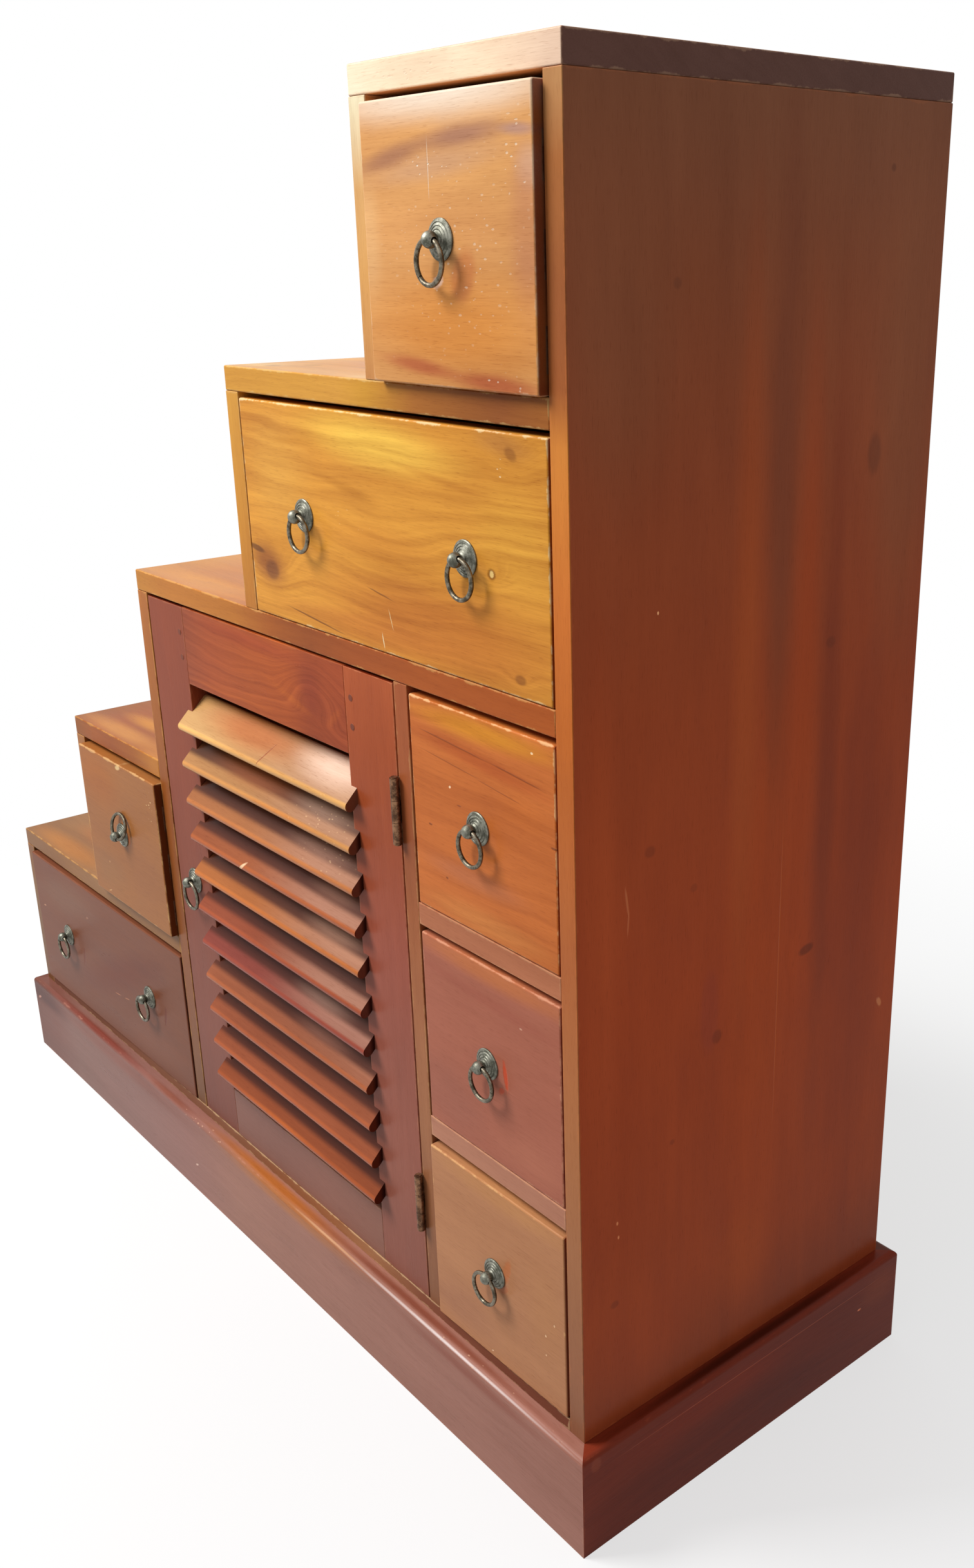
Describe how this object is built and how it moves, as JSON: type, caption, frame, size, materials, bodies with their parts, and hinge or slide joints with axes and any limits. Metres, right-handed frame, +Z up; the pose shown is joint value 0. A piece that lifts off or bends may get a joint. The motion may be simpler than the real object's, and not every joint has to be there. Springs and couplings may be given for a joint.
{
  "type": "step chest",
  "caption": "Staircase-shaped wooden chest on a plinth, with inset drawers under its steps, a louvred side-hung door, and ring pulls that swing.",
  "frame": {"origin": "centre of the whole chest's bounding box, at the floor", "axes": "+X along the width towards the tall end, +Y from the drawer fronts to the back, +Z up"},
  "size_m": [1.01, 0.362, 1],
  "materials": {
    "tread_wood": "glossy varnish",
    "panel_wood": "glossy varnish",
    "side_wood": "glossy varnish",
    "plinth_wood": "glossy varnish",
    "back_wood": "thin varnish",
    "drawer_box_wood": "bare wood",
    "top_drawer_wood": "glossy varnish",
    "upper_wide_drawer_wood": "glossy varnish",
    "column_drawer_upper_wood": "glossy varnish",
    "column_drawer_middle_wood": "glossy varnish",
    "column_drawer_lower_wood": "glossy varnish",
    "small_step_drawer_wood": "glossy varnish",
    "lower_wide_drawer_wood": "glossy varnish",
    "door_wood": "glossy varnish",
    "slat_wood": "glossy varnish",
    "peg_wood": "glossy varnish",
    "pull_metal": "antique pewter, worn bright",
    "ring_metal": "antique pewter, worn bright",
    "hinge_metal": "dark bronzed"
  },
  "bodies": {
    "carcass": {"tread_1": "tread_wood", "tread_2": "tread_wood", "tread_3": "tread_wood", "tread_4": "tread_wood", "tread_5": "tread_wood", "riser_1": "panel_wood", "riser_2": "panel_wood", "riser_3": "panel_wood", "riser_4": "panel_wood", "riser_5": "panel_wood", "right_side_panel": "side_wood", "bottom_board": "panel_wood", "divider": "panel_wood", "column_shelf_lower": "panel_wood", "column_shelf_upper": "panel_wood", "back_boards": "back_wood", "plinth_front": "plinth_wood", "plinth_right": "plinth_wood", "plinth_back": "plinth_wood", "plinth_left": "plinth_wood", "hinge_frame_leaves": "hinge_metal"},
    "top_drawer": {"top_drawer_front": "top_drawer_wood", "top_drawer_box": "drawer_box_wood", "top_drawer_pulls": "pull_metal"},
    "top_drawer_ring": {"top_drawer_ring": "ring_metal"},
    "upper_wide_drawer": {"upper_wide_drawer_front": "upper_wide_drawer_wood", "upper_wide_drawer_box": "drawer_box_wood", "upper_wide_drawer_pulls": "pull_metal"},
    "upper_wide_drawer_ring_left": {"upper_wide_drawer_ring_left": "ring_metal"},
    "upper_wide_drawer_ring_right": {"upper_wide_drawer_ring_right": "ring_metal"},
    "column_drawer_upper": {"column_drawer_upper_front": "column_drawer_upper_wood", "column_drawer_upper_box": "drawer_box_wood", "column_drawer_upper_pulls": "pull_metal"},
    "column_drawer_upper_ring": {"column_drawer_upper_ring": "ring_metal"},
    "column_drawer_middle": {"column_drawer_middle_front": "column_drawer_middle_wood", "column_drawer_middle_box": "drawer_box_wood", "column_drawer_middle_pulls": "pull_metal"},
    "column_drawer_middle_ring": {"column_drawer_middle_ring": "ring_metal"},
    "column_drawer_lower": {"column_drawer_lower_front": "column_drawer_lower_wood", "column_drawer_lower_box": "drawer_box_wood", "column_drawer_lower_pulls": "pull_metal"},
    "column_drawer_lower_ring": {"column_drawer_lower_ring": "ring_metal"},
    "small_step_drawer": {"small_step_drawer_front": "small_step_drawer_wood", "small_step_drawer_box": "drawer_box_wood", "small_step_drawer_pulls": "pull_metal"},
    "small_step_drawer_ring": {"small_step_drawer_ring": "ring_metal"},
    "lower_wide_drawer": {"lower_wide_drawer_front": "lower_wide_drawer_wood", "lower_wide_drawer_box": "drawer_box_wood", "lower_wide_drawer_pulls": "pull_metal"},
    "lower_wide_drawer_ring_left": {"lower_wide_drawer_ring_left": "ring_metal"},
    "lower_wide_drawer_ring_right": {"lower_wide_drawer_ring_right": "ring_metal"},
    "door": {"door_stile_left": "door_wood", "door_stile_right": "door_wood", "door_rail_top": "door_wood", "door_rail_bottom": "door_wood", "door_slats": "slat_wood", "door_pegs": "peg_wood", "hinge_door_leaves": "hinge_metal", "door_pull": "pull_metal"},
    "door_ring": {"door_ring": "ring_metal"}
  },
  "joints": [
    {"name": "top_drawer_slide", "type": "slide", "parent": "carcass", "child": "top_drawer", "axis": [0, -1, 0], "range_m": [-0.006, 0.23]},
    {"name": "top_drawer_ring_swing", "type": "hinge", "parent": "top_drawer", "child": "top_drawer_ring", "pos_m": [0.388, -0.17495, 0.9], "axis": [-0.9903, 0, 0.1392], "range_deg": [-14.07, 194.07]},
    {"name": "upper_wide_drawer_slide", "type": "slide", "parent": "carcass", "child": "upper_wide_drawer", "axis": [0, -1, 0], "range_m": [-0.0005, 0.23]},
    {"name": "upper_wide_drawer_ring_left_swing", "type": "hinge", "parent": "upper_wide_drawer", "child": "upper_wide_drawer_ring_left", "pos_m": [0.1983, -0.16945, 0.71875], "axis": [-0.9703, 0, -0.2419], "range_deg": [-14.07, 194.07]},
    {"name": "upper_wide_drawer_ring_right_swing", "type": "hinge", "parent": "upper_wide_drawer", "child": "upper_wide_drawer_ring_right", "pos_m": [0.3915, -0.16945, 0.71545], "axis": [-0.9613, 0, -0.2756], "range_deg": [-14.07, 194.07]},
    {"name": "column_drawer_upper_slide", "type": "slide", "parent": "carcass", "child": "column_drawer_upper", "axis": [0, -1, 0], "range_m": [0, 0.23]},
    {"name": "column_drawer_upper_ring_swing", "type": "hinge", "parent": "column_drawer_upper", "child": "column_drawer_upper_ring", "pos_m": [0.3926, -0.16895, 0.53575], "axis": [-0.9998, 0, -0.0175], "range_deg": [-14.07, 194.07]},
    {"name": "column_drawer_middle_slide", "type": "slide", "parent": "carcass", "child": "column_drawer_middle", "axis": [0, -1, 0], "range_m": [0, 0.23]},
    {"name": "column_drawer_middle_ring_swing", "type": "hinge", "parent": "column_drawer_middle", "child": "column_drawer_middle_ring", "pos_m": [0.3926, -0.16895, 0.35805], "axis": [-0.9877, 0, -0.1564], "range_deg": [-14.07, 194.07]},
    {"name": "column_drawer_lower_slide", "type": "slide", "parent": "carcass", "child": "column_drawer_lower", "axis": [0, -1, 0], "range_m": [-0.001, 0.23]},
    {"name": "column_drawer_lower_ring_swing", "type": "hinge", "parent": "column_drawer_lower", "child": "column_drawer_lower_ring", "pos_m": [0.3939, -0.17094, 0.1813], "axis": [-0.9562, -0.0117, 0.2924], "range_deg": [-14.07, 194.07]},
    {"name": "small_step_drawer_slide", "type": "slide", "parent": "carcass", "child": "small_step_drawer", "axis": [0, -1, 0], "range_m": [-0.007, 0.23]},
    {"name": "small_step_drawer_ring_swing", "type": "hinge", "parent": "small_step_drawer", "child": "small_step_drawer_ring", "pos_m": [-0.1912, -0.17595, 0.36155], "axis": [-0.9397, 0, 0.342], "range_deg": [-208.14, 0]},
    {"name": "lower_wide_drawer_slide", "type": "slide", "parent": "carcass", "child": "lower_wide_drawer", "axis": [0, -1, 0], "range_m": [-0.0012, 0.23]},
    {"name": "lower_wide_drawer_ring_left_swing", "type": "hinge", "parent": "lower_wide_drawer", "child": "lower_wide_drawer_ring_left", "pos_m": [-0.39094, -0.17214, 0.18105], "axis": [-0.9994, -0.007, 0.0349], "range_deg": [-14.07, 194.07]},
    {"name": "lower_wide_drawer_ring_right_swing", "type": "hinge", "parent": "lower_wide_drawer", "child": "lower_wide_drawer_ring_right", "pos_m": [-0.18894, -0.17073, 0.18195], "axis": [-0.9563, -0.0067, 0.2924], "range_deg": [-14.07, 194.07]},
    {"name": "door_hinge", "type": "hinge", "parent": "carcass", "child": "door", "pos_m": [0.29925, -0.16455, 0.3585], "axis": [0, 0, -1], "range_deg": [-150, 0]},
    {"name": "door_ring_swing", "type": "hinge", "parent": "door", "child": "door_ring", "pos_m": [-0.0518, -0.16895, 0.3559], "axis": [-0.9511, 0, -0.309], "range_deg": [-14.07, 194.07]}
  ]
}
